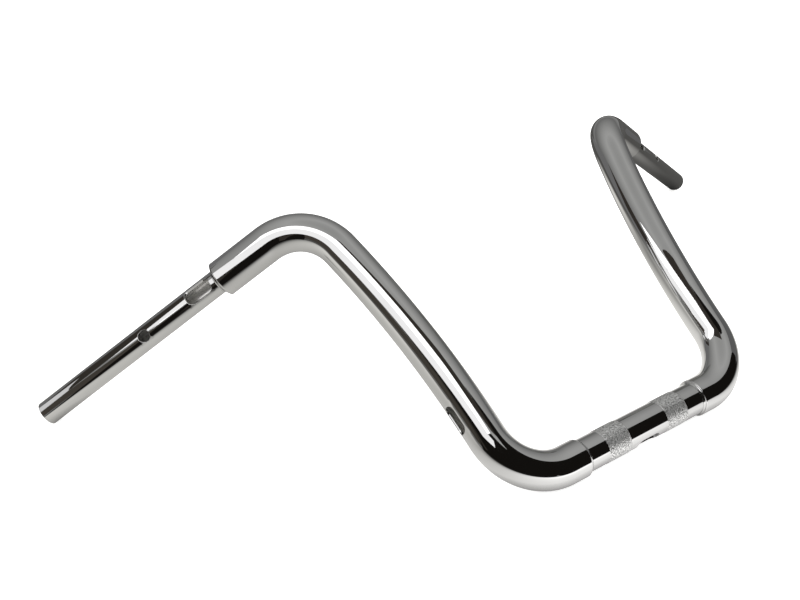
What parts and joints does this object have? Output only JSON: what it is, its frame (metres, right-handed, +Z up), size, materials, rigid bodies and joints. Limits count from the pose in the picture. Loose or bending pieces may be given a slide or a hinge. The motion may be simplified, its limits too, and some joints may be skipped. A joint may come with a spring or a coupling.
{
  "type": "motorcycle handlebar",
  "caption": "Tall chrome motorcycle handlebar: two bent fat tubes rise from a knurled centre clamp tube and step down to slim grip tubes with wiring slots.",
  "frame": {"origin": "middle of the clamp tube's axis, halfway between the two risers", "axes": "+Z up, with the bar resting on a table on the clamp end of its risers and on both grip ends; +X along the clamp tube, towards the rider's left when the bar is fitted; +Y from the clamp tube towards the grip ends. In the bar's own upright frame the risers' lower ends stand 57.9 degrees further back, turned about +X."},
  "size_m": [0.9416, 0.4006, 0.1992],
  "materials": {
    "chrome": "polished chrome plate on steel tube",
    "knurled_chrome": "polished chrome plate with two knurled bands",
    "weld_chrome": "dressed fillet weld under chrome plate"
  },
  "bodies": {
    "root": {"centre_clamp_tube": "knurled_chrome", "left_riser_tube": "chrome", "right_riser_tube": "chrome", "left_clamp_weld": "weld_chrome", "right_clamp_weld": "weld_chrome", "left_grip_bush": "chrome", "right_grip_bush": "chrome", "left_grip_weld": "weld_chrome", "right_grip_weld": "weld_chrome", "left_grip_tube": "chrome", "right_grip_tube": "chrome"}
  },
  "joints": []
}
